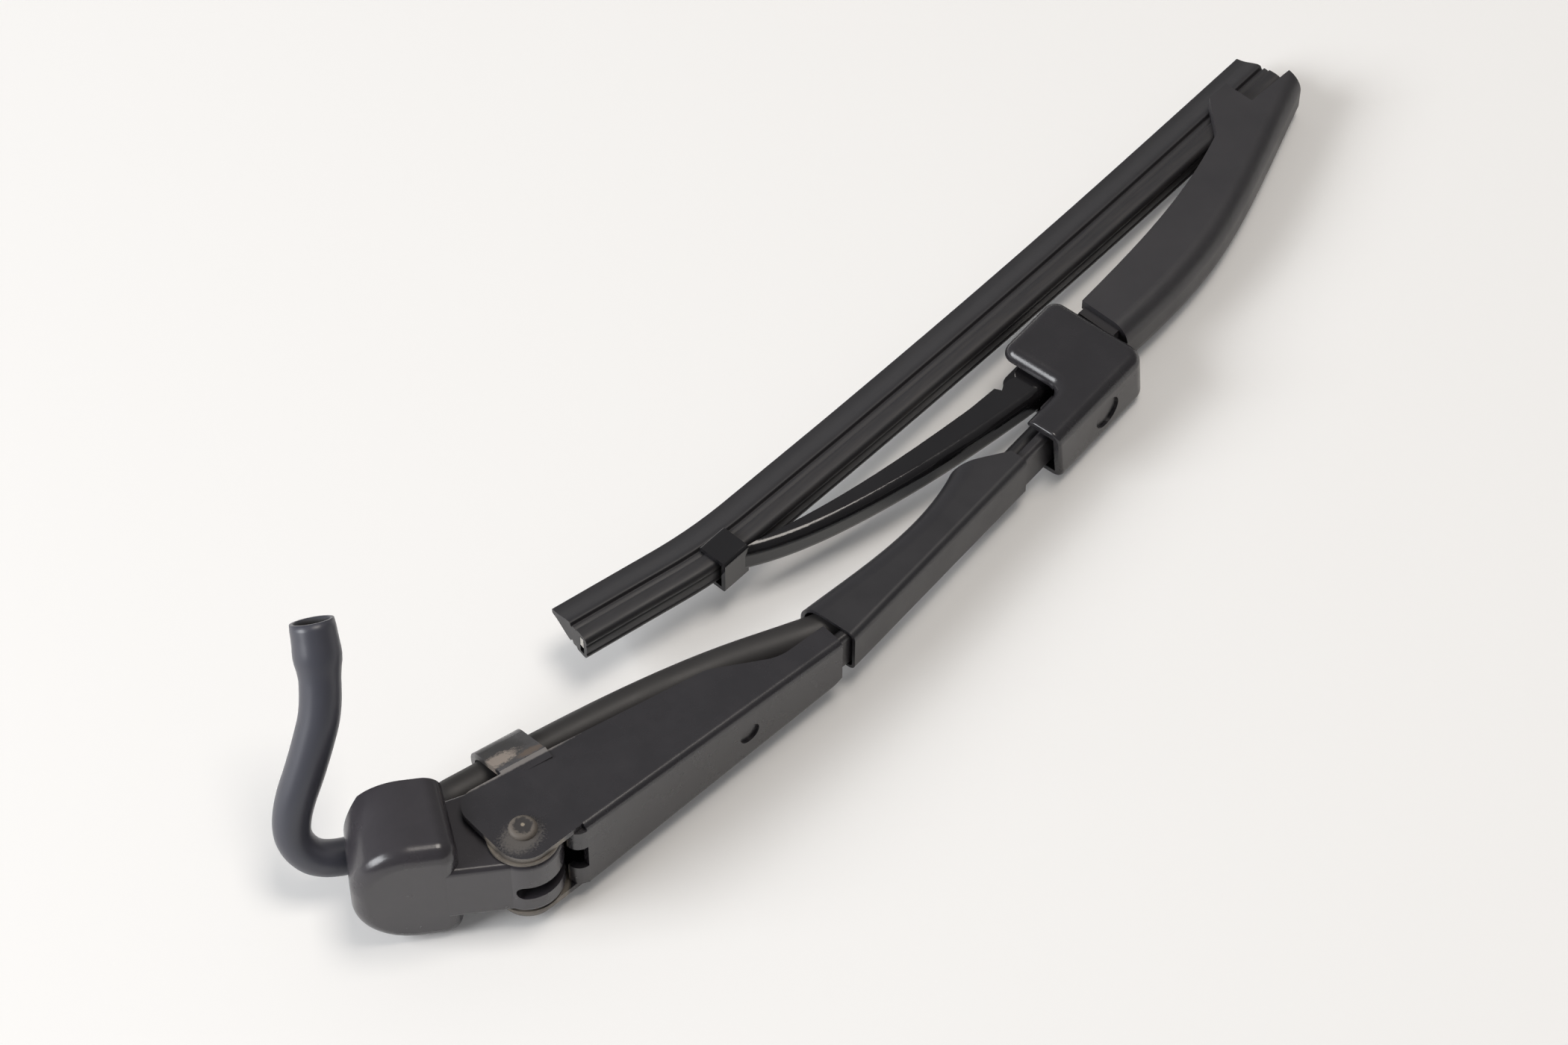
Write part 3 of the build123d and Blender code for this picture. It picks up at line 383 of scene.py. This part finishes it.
# Painted shade: a dark matte patch over the hose tab and the hose where the tab curls over it. The
# tab is also rubbed to primer on its back, with a little rust under it.
wear_and_painted_light(channel_paint, "#1f1d1d", roughness=0.6, share=0.75, centre=on_arm(7.0, 14.2, 4.0),
     radii_mm=(6.0, 4.2, 4.4), turn=EDGE_TURN, ragged_mm=1.5, ragged=0.3)
wear_and_painted_light(channel_paint, "#978c82", roughness=0.6, share=0.9, centre=on_arm(6.0, 13.3, 5.8),
     radii_mm=(3.8, 1.9, 1.9), turn=EDGE_TURN, ragged_mm=0.6, ragged=0.9)
wear_and_painted_light(channel_paint, "#6a5b4e", roughness=0.8, share=0.7, centre=on_arm(10.8, 11.0, 7.6),
     radii_mm=(2.2, 1.0, 0.9), turn=EDGE_TURN, ragged_mm=0.5, ragged=0.9)
print("nodes in the channel's paint:", len(channel_paint.node_tree.nodes))

# %% [markdown]
# ## Small metal and nylon parts
# The rivet was painted with the channel and its rim has worn to dirty metal. The
# washers are dark nylon, furred with dust. The pins and the spring are plain
# steel that has gone dull, and the strip in the rubber's back is bright. Paint
# and nylon take the black recipe, and bare steel is a metal with fine streaks.

# %% Rivet and washers
# Painted rivet steel: a dark dome, with beige dust round its foot and a bare spot on top.
rivet_paint = grained_black("worn_paint_on_rivet_steel", dark="#302e2f", light="#3b3837", gloss=0.34,
                            grain_mm=0.25, grain_depth_mm=0.008, patch_mm=2.0)
wear_and_painted_light(rivet_paint, "#736b62", roughness=0.8, share=0.7, centre=on_arm(0.1, 0.1, 0.0),
     radii_mm=(2.2, 2.2, ENDLESS), ragged_mm=0.6, ragged=1.3, hollow=0.30)
wear_and_painted_light(rivet_paint, "#a59a88", roughness=0.5, share=0.8, centre=on_arm(0.15, 0.2, 9.2),
     radii_mm=(0.32, 0.32, 0.4), ragged_mm=0.3, ragged=0.5)
# Nylon: dull dark grey, with pale dust caught on it.
nylon = grained_black("dusty_nylon", dark="#3f3b39", light="#8b8276", gloss=0.6, grain_mm=0.3,
                      grain_depth_mm=0.01, patch_mm=1.2)

# %% Pins, spring and strip
def bare_steel(name, dark, light, gloss, streak_mm):
    """Drawn steel wire or strip: a metal whose gloss varies in fine streaks."""
    material, tree = new_material(name)
    place = put(tree, "TexCoord").outputs["Object"]
    streaks = put(tree, "TexNoise", {"Vector": place, "Scale": 1 / (streak_mm * MM),
                                     "Detail": 3.0}).outputs["Fac"]
    colour = put(tree, "Mix", {0: streaks, 6: paint(dark), 7: paint(light)},
                 data_type="RGBA").outputs[2]
    rough = put(tree, "MapRange", {"Value": streaks, "To Min": gloss - 0.08, "To Max": gloss + 0.1})
    shader = put(tree, "BsdfPrincipled", {"Base Color": colour, "Metallic": 1.0,
                                          "Roughness": rough.outputs["Result"]})
    put(tree, "OutputMaterial", {"Surface": shader.outputs["BSDF"]})
    print("metal:", name)
    return material


# Spring steel, oil blackened: dark metal with a dull sheen.
spring_steel = bare_steel("oil_blackened_spring_steel", dark="#3c3a3a", light="#57534f", gloss=0.42,
                          streak_mm=0.8)
# Turned pin steel: mid grey metal.
pin_steel = bare_steel("turned_pin_steel", dark="#8a8987", light="#a3a19e", gloss=0.32,
                       streak_mm=0.6)
# Rolled strip steel: bright, with a faint brushed look.
strip_steel = bare_steel("rolled_bright_strip_steel", dark="#b9b7b2", light="#d3d1cc", gloss=0.28,
                         streak_mm=0.5)

# %% [markdown]
# ## Rubber
# The sleeve is soft rubber with a silky skin. The hose is a duller rubber. Its
# free stub has a grey bloom and is painted lighter and bluer there, a painted
# sheen of the left softbox, and the inside of its mouth is painted dark as shade.
# The blade's rubber is the dullest, and road dust is rubbed along its back, so
# its dust is a noise stretched along the blade.

# %% Sleeve and hose
# Moulded sleeve rubber: soft black with a silky sheen.
sleeve_rubber = grained_black("moulded_sleeve_rubber", dark="#28272a", light="#2f2e31", gloss=0.36,
                              grain_mm=0.22, grain_depth_mm=0.006, specks=0.018)
# Extruded hose rubber: dull brownish black along the arm. On the free stub a grey bloom, painted
# lighter and bluer as a painted sheen of the left softbox.
hose_rubber = grained_black("extruded_hose_rubber", dark="#2b2929", light="#343231", gloss=0.54,
                            grain_mm=0.30, grain_depth_mm=0.006, specks=0.015)
# Painted sheen: the free stub's bloom is painted lighter, bluer and glossier, standing in for the
# left softbox's light on it.
wear_and_painted_light(hose_rubber, "#474851", roughness=0.36, share=0.95,
     centre=Vector((-13.0, 11.0, 13.0)) * MM, radii_mm=(14.0, 30.0, 40.0), ragged_mm=6.0, ragged=0.3)
# Painted shade: the inside of the hose's mouth is painted near black and dull.
for spot in ((-9.8, 22.2, 28.9), (-9.5, 20.0, 26.7)):
    wear_and_painted_light(hose_rubber, "#161516", roughness=0.9, share=0.95, centre=Vector(spot) * MM,
         radii_mm=(3.2, 3.2, 3.2), ragged_mm=1.0, ragged=0.0, soft=0.08)

# %% The blade's rubber and its dust
BLADE_TURN = math.radians(39.3)
PIVOT = Vector((120.18087, 81.12114, 0.0)) * MM
STREAK_MM = (9.0, 0.7, 0.7)
DUSTY_TO = 10.0 * MM
CLEAN_FROM = 16.0 * MM

# Cast wiper rubber: dull black, with brown road dust rubbed along its back in streaks.
blade_rubber = grained_black("cast_wiper_rubber", dark="#242326", light="#2d2c2f", gloss=0.50,
                             grain_mm=0.25, grain_depth_mm=0.006, specks=0.024)
tree, shader, place = finish_nodes(blade_rubber)


def along_blade(scale):
    """Coordinates along and across the blade, measured from its pin in units of scale."""
    return put(tree, "Mapping", {"Vector": place, "Location": PIVOT, "Rotation": (0, 0, BLADE_TURN),
                                 "Scale": scale}, vector_type="TEXTURE").outputs["Vector"]


dust = put(tree, "TexNoise", {"Vector": along_blade(Vector(STREAK_MM) * MM), "Scale": 1.0,
                              "Detail": 5.0, "Roughness": 0.6}).outputs["Fac"]
dust = put(tree, "MapRange", {"Value": dust, "From Min": 0.42, "From Max": 0.75}).outputs["Result"]
depth = put(tree, "SeparateXYZ", {"Vector": along_blade((1.0, 1.0, 1.0))}).outputs["Y"]
back = put(tree, "MapRange", {"Value": depth, "From Min": CLEAN_FROM, "From Max": DUSTY_TO,
                              "To Min": 0.25, "To Max": 1.0}).outputs["Result"]
dust = put(tree, "Math", {0: dust, 1: back}, operation="MULTIPLY").outputs[0]
lay_over(tree, shader, dust, "#4d4742", roughness=0.62, share=0.42)
print("dust streaks (mm):", STREAK_MM)

# %% [markdown]
# ## Plastic and paint
# The cap and the cover are moulded plastic: the cap has a grained, slightly
# glossy skin, the cover a finer, drier one. The bow is sheet steel in gloss
# paint. All of them take the black recipe with another grain and gloss.

# %% Mouldings
# Grained ABS: black moulding with a fine sparkling grain.
cap_plastic = grained_black("grained_abs", dark="#2a292c", light="#302e31", gloss=0.25,
                            grain_mm=0.24, grain_depth_mm=0.013)
# Spark eroded polypropylene: the driest of the mouldings.
cover_plastic = grained_black("spark_eroded_polypropylene", dark="#313033", light="#373538",
                              gloss=0.42, grain_mm=0.20, grain_depth_mm=0.008)
# Plain extruded nylon tube and moulded acetal bush.
tube_nylon = grained_black("extruded_nylon_tube", dark="#1f1e20", light="#29282a", gloss=0.35,
                           grain_mm=0.4, grain_depth_mm=0.003)
bush_acetal = grained_black("moulded_acetal", dark="#2b2a2c", light="#363437", gloss=0.38,
                            grain_mm=0.4, grain_depth_mm=0.003)

# %% Paint on strip and bow
# Matte paint on the flat strip.
strip_paint = grained_black("matte_paint_on_strip_steel", dark="#2a292b", light="#323033",
                            gloss=0.36, grain_mm=0.3, grain_depth_mm=0.005)
# Gloss paint on the bow: nearly black, with sharp reflections.
bow_paint = grained_black("gloss_paint_on_bow_steel", dark="#1b1a1c", light="#212022", gloss=0.12,
                          grain_mm=0.8, grain_depth_mm=0.003, specks=0.02)

# %% [markdown]
# ## Which node wears what
# Each CAD node keeps its mesh, and only its material changes. The material could
# be set on the object instead, but it goes into the mesh's own slot.

# %% Dress the CAD nodes
dress = {
    cast_paint: ["pivot_head"],
    channel_paint: ["arm_channel"],
    rivet_paint: ["hinge_rivet"],
    nylon: ["hinge_washers"],
    pin_steel: ["spring_pin", "blade_pivot_pin"],
    spring_steel: ["tension_spring"],
    strip_steel: ["flexor_strip"],
    strip_paint: ["support_strip"],
    sleeve_rubber: ["strip_sleeve"],
    hose_rubber: ["hose_free_end", "hose_head_run", "hose_arm_run"],
    tube_nylon: ["feed_tube"],
    cap_plastic: ["adapter_cap", "jet_nozzle"],
    bush_acetal: ["pivot_bush"],
    bow_paint: ["blade_bow"],
    cover_plastic: ["bow_cover"],
    blade_rubber: ["wiper_rubber"],
}
for material, names in dress.items():
    for name in names:
        nodes[name].data.materials.clear()
        nodes[name].data.materials.append(material)
print("nodes dressed:", sum(len(names) for names in dress.values()))

# %% [markdown]
# ## Washer hose
# The hose is one rubber tube. Its free stub leaves the back of the bell, turns up
# and ends in a mouth that a joint once stretched. The other run passes behind the
# spindle, crosses the hinge under the tab and ends in the sleeve. Both follow a
# smooth spline through the route's points, and rings extruded along that spline
# make the wall, which a bevelled curve would leave without a thickness.

# %% Smooth lines
def smooth_line(name, points, steps):
    """Points along a NURBS spline whose control points are the route's."""
    line = bpy.data.curves.new(name, "CURVE")
    line.dimensions = "3D"
    line.resolution_u = steps
    spline = line.splines.new("NURBS")
    spline.points.add(len(points) - 1)
    for spot, point in zip(spline.points, points):
        spot.co = (*point, 1.0)
    spline.order_u = 3
    spline.use_endpoint_u = True
    holder = bpy.data.objects.new(name, line)
    mesh = bpy.data.meshes.new_from_object(holder)
    path = [v.co.copy() for v in mesh.vertices]
    bpy.data.objects.remove(holder)
    bpy.data.meshes.remove(mesh)
    bpy.data.curves.remove(line)
    return path


def length_of(path):
    return sum((b - a).length for a, b in zip(path, path[1:]))


# %% Tubes along a line
def extrude_rings(bm, edges, path, radii, first, order):
    """Extrudes a ring of edges along the path's points, turning with it."""
    here, along, radius = first
    for i in order:
        after, before = path[min(i + 1, len(path) - 1)], path[max(i - 1, 0)]
        heading = (after - before).normalized()
        made = bmesh.ops.extrude_edge_only(bm, edges=edges)["geom"]
        edges = [part for part in made if isinstance(part, bmesh.types.BMEdge)]
        ring = [part for part in made if isinstance(part, bmesh.types.BMVert)]
        turn = along.rotation_difference(heading).to_matrix().to_4x4()
        grow = Matrix.Scale(radii[i] / radius, 4)
        move = Matrix.Translation(path[i]) @ turn @ grow @ Matrix.Translation(-here)
        bmesh.ops.transform(bm, matrix=move, verts=ring)
        here, along, radius = path[i], heading, radii[i]
    return edges, (here, along, radius)


def tube(name, path, radii, sides, material, bore=None, bore_rings=0):
    """A closed tube along path. With the bore's radii, its far end is open for that many rings."""
    bm = bmesh.new()
    along = (path[1] - path[0]).normalized()
    place = Matrix.Translation(path[0]) @ along.to_track_quat("Z", "Y").to_matrix().to_4x4()
    bmesh.ops.create_circle(bm, segments=sides, radius=radii[0], matrix=place)
    start = bm.edges[:]
    edges, last = extrude_rings(bm, start, path, radii, (path[0], along, radii[0]),
                                range(1, len(path)))
    if bore:
        end = len(path) - 1
        edges, last = extrude_rings(bm, edges, path, bore, last, range(end, end - bore_rings, -1))
    bmesh.ops.edgeloop_fill(bm, edges=start)
    bmesh.ops.edgeloop_fill(bm, edges=edges)
    bmesh.ops.recalc_face_normals(bm, faces=bm.faces)
    for face in bm.faces:
        face.smooth = True
    print(name, "rings", len(path), "faces", len(bm.faces))
    return finished(name, bm, material)


# %% The free stub of the hose
HOSE_RADIUS = 3.1 * MM
HOSE_SIDES = 32
BORE_RINGS = 24
stub_route = [Vector(p) * MM for p in (
    (-6.7, 2.8, -6.0), (-12.7, 1.1, -5.4), (-17.2, 2.7, -1.0), (-16.7, 5.3, 4.6), (-12.9, 9.2, 12.4),
    (-9.0, 15.2, 21.8), (-9.9, 23.2, 30.0))]
stub_path = smooth_line("stub_line", stub_route, steps=16)
# Distance from the mouth, and there the radius of the outside and of the bore, in millimetres.
MOUTH = ((0.0, 3.60, 3.05), (0.5, 3.70, 2.95), (3.0, 3.78, 2.80), (5.0, 3.94, 2.60),
         (6.2, 3.94, 2.30), (7.6, 3.62, 1.90), (9.2, 3.38, 1.65), (16.0, 3.36, 1.65),
         (30.0, 3.26, 1.65), (37.0, 3.06, 1.65), (80.0, 3.06, 1.65))


def mouth_radius(left, column):
    """The radius at a distance from the mouth, on straight lines between the table's rows."""
    for near, far in zip(MOUTH, MOUTH[1:]):
        if left <= far[0]:
            share = (left - near[0]) / (far[0] - near[0])
            return (near[column] + (far[column] - near[column]) * share) * MM
    return MOUTH[-1][column] * MM


stub_left = [length_of(stub_path[i:]) / MM for i in range(len(stub_path))]
stub_radii = [mouth_radius(left, 1) for left in stub_left]
stub_bores = [mouth_radius(left, 2) for left in stub_left]
hose_stub = tube("hose_stub", stub_path, stub_radii, HOSE_SIDES, hose_rubber, stub_bores, BORE_RINGS)
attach(hose_stub, "head")
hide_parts("hose_free_end")

# %% The hose across the hinge
CRANK = Vector((69.5, -4.3, 0.0)) * MM
CRANK_TURN = math.radians(8.5)
crank_frame = arm_frame @ Matrix.Translation(CRANK) @ Matrix.Rotation(CRANK_TURN, 4, "Z")
hose_route = [Vector(p) * MM for p in (
    (-6.7, 2.8, -6.0), (-1.48, 4.28, -6.52), (3.4, 5.9, -7.0), (7.07, 6.38, 0.0), (11.05, 8.26, 0.0))]
hose_route += [on_arm(x, y, 0.0) for x, y in ((18.0, 13.58), (33.0, 10.6), (47.0, 6.9), (59.4, 2.3))]
hose_route += [crank_frame @ (Vector((x, y, 0.0)) * MM) for x, y in ((-2.0, 4.3), (3.2, 4.3))]
hose_path = smooth_line("hose_line", hose_route, steps=14)
hose_run = tube("hose_run", hose_path, [HOSE_RADIUS] * len(hose_path), HOSE_SIDES, hose_rubber)
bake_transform(hose_run)
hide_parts("hose_head_run", "hose_arm_run")
print("hose from bell to sleeve (mm):", round(length_of(hose_path) / MM, 1))

# %% [markdown]
# ## Wiping rubber
# The rubber is pressed through a die, so it has one section from end to end: a
# head with a slot for the steel strip, two grooves that the claws grip in, and a
# hollow-sided wedge that ends in the wiping lip. Soft rubber has no sharp corner,
# so half of the section is a smooth line, mirrored, and carried along the blade,
# where it bends in the claw. The strip is swept along the same line.

# %% Carry a section along the blade
def swept(name, bm, loops, path, material):
    """Carries closed loops of edges, drawn across X at the origin, along the blade's line."""
    heading = (path[1] - path[0]).normalized()
    turn = Matrix.Rotation(math.atan2(heading.y, heading.x), 4, "Z")
    bmesh.ops.transform(bm, matrix=Matrix.Translation(path[0]) @ turn, verts=bm.verts)
    same_size = [1.0] * len(path)
    ends = []
    for loop in loops:
        ends += extrude_rings(bm, loop, path, same_size, (path[0], heading, 1.0),
                              range(1, len(path)))[0]
    for face in bm.faces:
        face.smooth = True
    for rim in ([edge for loop in loops for edge in loop], ends):
        bmesh.ops.triangle_fill(bm, use_beauty=True, edges=rim)
        for edge in rim:
            edge.smooth = False
    bmesh.ops.recalc_face_normals(bm, faces=bm.faces)
    print(name, "rings", len(path), "faces", len(bm.faces))
    return finished(name, bm, material)


def closed_box(bm, back, front, low, high):
    """A ring of four edges, in millimetres of depth from the rubber's back and of height."""
    corners = [bm.verts.new(Vector((0.0, y, z)) * MM)
               for y, z in ((back, low), (front, low), (front, high), (back, high))]
    return [bm.edges.new(pair) for pair in zip(corners, corners[1:] + corners[:1])]


# %% The line of the blade, and the rubber on it
blade_frame = Matrix.Translation(PIVOT) @ Matrix.Rotation(BLADE_TURN, 4, "Z")
blade_route = [blade_frame @ (Vector((x, y, 0.0)) * MM) for x, y in (
    (-97.8, 17.3), (-87.2, 15.15), (-69.6, 11.55), (-51.6, 11.15), (-32.0, 10.71), (3.7, 10.4),
    (40.0, 10.72), (76.6, 11.6))]
blade_path = smooth_line("blade_line", blade_route, steps=12)
# Half of the section: depth from the back, and height over the middle, in millimetres.
HALF_RUBBER = (
    (0.05, 0.0), (0.05, 0.75), (0.20, 1.0), (0.20, 1.25), (0.02, 1.45), (0.1, 2.0), (0.5, 2.58),
    (1.4, 2.74), (2.75, 2.72), (2.95, 2.68), (3.0, 2.34), (3.2, 2.24), (3.45, 2.36), (3.95, 2.42),
    (4.15, 2.3), (4.25, 1.8), (4.55, 1.75), (4.7, 2.1), (4.8, 2.36), (5.05, 2.45), (5.6, 2.38),
    (6.9, 1.75), (8.3, 1.05), (9.4, 0.68), (10.15, 0.55), (10.2, 0.35), (10.2, 0.0))
half_points = [Vector((0.0, y, z)) * MM for y, z in HALF_RUBBER]
bm = bmesh.new()
half = [bm.verts.new(p) for p in smooth_line("half_rubber", half_points, steps=4)]
for pair in zip(half, half[1:]):
    bm.edges.new(pair)
bmesh.ops.mirror(bm, geom=bm.verts[:] + bm.edges[:], matrix=Matrix.Identity(4),
                 merge_dist=0.001 * MM, axis="Z")
outline = bm.edges[:]
slot = closed_box(bm, back=0.9, front=2.0, low=-2.0, high=2.0)
rubber_blade = swept("rubber_blade", bm, [outline, slot], blade_path, blade_rubber)
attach(rubber_blade, "blade")
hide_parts("wiper_rubber")
print("rubber length (mm):", round(length_of(blade_path) / MM, 1))

# %% The steel strip in its back
bm = bmesh.new()
strip = closed_box(bm, back=1.0, front=1.9, low=-0.3, high=1.9)
steel_back = swept("steel_back", bm, [strip], blade_path, strip_steel)
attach(steel_back, "blade")
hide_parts("flexor_strip")

# %% [markdown]
# ## Tension spring
# Inside the channel a coil of hard wire pulls the arm to the glass. One hook
# holds a pin in the head, the other a lug of the strip. A spin could screw the
# coil, but the hooks flow out of it, so one wire follows a smooth line through
# hook, coil and hook.

# %% The wire's line, in the spring's own millimetres
SPRING = Vector((-1.865, 5.407, -1.0)) * MM
SPRING_TURN = math.radians(-6.49)
HOOK_RADIUS = 2.05
COIL_RADIUS = 2.55
COIL_SWELL = 1.035  # the smooth line cuts the corners of its points, so they stand outside the coil
COIL_START = 9.8
COIL_END = 31.9
COILS = 17
POINTS_A_TURN = 12
spring_frame = arm_frame @ Matrix.Translation(SPRING) @ Matrix.Rotation(SPRING_TURN, 4, "Z")
hook_angles = [math.radians(a) for a in range(300, 30, -30)]
hook = [(HOOK_RADIUS * math.cos(a), HOOK_RADIUS * math.sin(a), 0.0) for a in hook_angles]
near = [(3.4, 0.9, 0.0), (6.0, 0.0, 0.0), (8.4, 0.0, 0.0), (9.5, 0.6, 1.2)]
turns = []
for i in range(COILS * POINTS_A_TURN + 1):
    angle = 2 * math.pi * i / POINTS_A_TURN
    along = COIL_START + (COIL_END - COIL_START) * i / (COILS * POINTS_A_TURN)
    reach = COIL_SWELL * COIL_RADIUS
    turns.append((along, reach * math.sin(angle), reach * math.cos(angle)))
far = [(32.4, 0.4, 1.2), (33.6, 0.0, 0.0), (35.0, 0.9, 0.0), (36.6, 1.6, 0.0), (38.0, 0.6, 0.0),
       (38.0, -1.0, 0.0), (36.6, -1.7, 0.0)]
spring_route = [spring_frame @ (Vector(p) * MM) for p in hook + near + turns + far]
print("coil of", COILS, "turns in", round(COIL_END - COIL_START, 1), "mm")

# %% Coil spring of one wire
WIRE_RADIUS = 0.65 * MM
WIRE_SIDES = 10
spring_path = smooth_line("spring_line", spring_route, steps=3)
spring_wire = tube("spring_wire", spring_path, [WIRE_RADIUS] * len(spring_path), WIRE_SIDES,
                   spring_steel)
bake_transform(spring_wire)
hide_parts("tension_spring")
